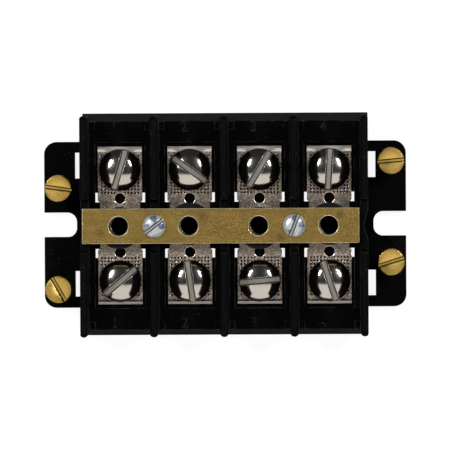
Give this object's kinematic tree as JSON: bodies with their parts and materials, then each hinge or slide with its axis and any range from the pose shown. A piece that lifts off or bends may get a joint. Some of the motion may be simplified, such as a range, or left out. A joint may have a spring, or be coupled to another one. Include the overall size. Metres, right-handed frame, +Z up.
{
  "type": "barrier terminal strip",
  "caption": "Moulded barrier terminal strip with wire screws on nickel plates between barriers, a brass shorting bar over the poles and shorting screws stored in slotted flanges.",
  "frame": {"origin": "centre of the underside, in the middle of the body", "axes": "+X along the row of poles, +Y across it towards the upper row of wire screws, +Z up from the panel, out of the screw heads"},
  "size_m": [0.0828, 0.051, 0.0254],
  "materials": {
    "moulding": "satin black moulding",
    "plate_nickel": "nickel plate, satin",
    "screw_nickel": "nickel plate, bright",
    "spacer_fibre": "matt black",
    "brass": "drawn brass, satin",
    "zinc": "zinc plate, bluish"
  },
  "bodies": {
    "block": {"base": "moulding", "terminal_plate_1": "plate_nickel", "terminal_plate_2": "plate_nickel", "terminal_plate_3": "plate_nickel", "terminal_plate_4": "plate_nickel", "spacer_1": "spacer_fibre", "spacer_2": "spacer_fibre", "spacer_3": "spacer_fibre", "spacer_4": "spacer_fibre", "shorting_bar": "brass", "bar_screw_1": "zinc", "bar_screw_2": "zinc"},
    "upper_screw_1": {"upper_screw_1": "screw_nickel"},
    "upper_screw_2": {"upper_screw_2": "screw_nickel"},
    "upper_screw_3": {"upper_screw_3": "screw_nickel"},
    "upper_screw_4": {"upper_screw_4": "screw_nickel"},
    "lower_screw_1": {"lower_screw_1": "screw_nickel"},
    "lower_screw_2": {"lower_screw_2": "screw_nickel"},
    "lower_screw_3": {"lower_screw_3": "screw_nickel"},
    "lower_screw_4": {"lower_screw_4": "screw_nickel"},
    "shorting_screw_1": {"shorting_screw_1": "brass"},
    "shorting_screw_2": {"shorting_screw_2": "brass"},
    "shorting_screw_3": {"shorting_screw_3": "brass"},
    "shorting_screw_4": {"shorting_screw_4": "brass"}
  },
  "joints": [
    {"name": "upper_screw_1_travel", "type": "slide", "parent": "block", "child": "upper_screw_1", "axis": [0, 0, 1], "range_m": [0, 0.0045]},
    {"name": "upper_screw_2_travel", "type": "slide", "parent": "block", "child": "upper_screw_2", "axis": [0, 0, 1], "range_m": [0, 0.0045]},
    {"name": "upper_screw_3_travel", "type": "slide", "parent": "block", "child": "upper_screw_3", "axis": [0, 0, 1], "range_m": [0, 0.0045]},
    {"name": "upper_screw_4_travel", "type": "slide", "parent": "block", "child": "upper_screw_4", "axis": [0, 0, 1], "range_m": [0, 0.0045]},
    {"name": "lower_screw_1_travel", "type": "slide", "parent": "block", "child": "lower_screw_1", "axis": [0, 0, 1], "range_m": [0, 0.0045]},
    {"name": "lower_screw_2_travel", "type": "slide", "parent": "block", "child": "lower_screw_2", "axis": [0, 0, 1], "range_m": [0, 0.0045]},
    {"name": "lower_screw_3_travel", "type": "slide", "parent": "block", "child": "lower_screw_3", "axis": [0, 0, 1], "range_m": [0, 0.0045]},
    {"name": "lower_screw_4_travel", "type": "slide", "parent": "block", "child": "lower_screw_4", "axis": [0, 0, 1], "range_m": [0, 0.0045]},
    {"name": "shorting_screw_1_travel", "type": "slide", "parent": "block", "child": "shorting_screw_1", "axis": [0, 0, 1], "range_m": [0, 0.0033]},
    {"name": "shorting_screw_2_travel", "type": "slide", "parent": "block", "child": "shorting_screw_2", "axis": [0, 0, 1], "range_m": [0, 0.0033]},
    {"name": "shorting_screw_3_travel", "type": "slide", "parent": "block", "child": "shorting_screw_3", "axis": [0, 0, 1], "range_m": [0, 0.0033]},
    {"name": "shorting_screw_4_travel", "type": "slide", "parent": "block", "child": "shorting_screw_4", "axis": [0, 0, 1], "range_m": [0, 0.0033]}
  ]
}
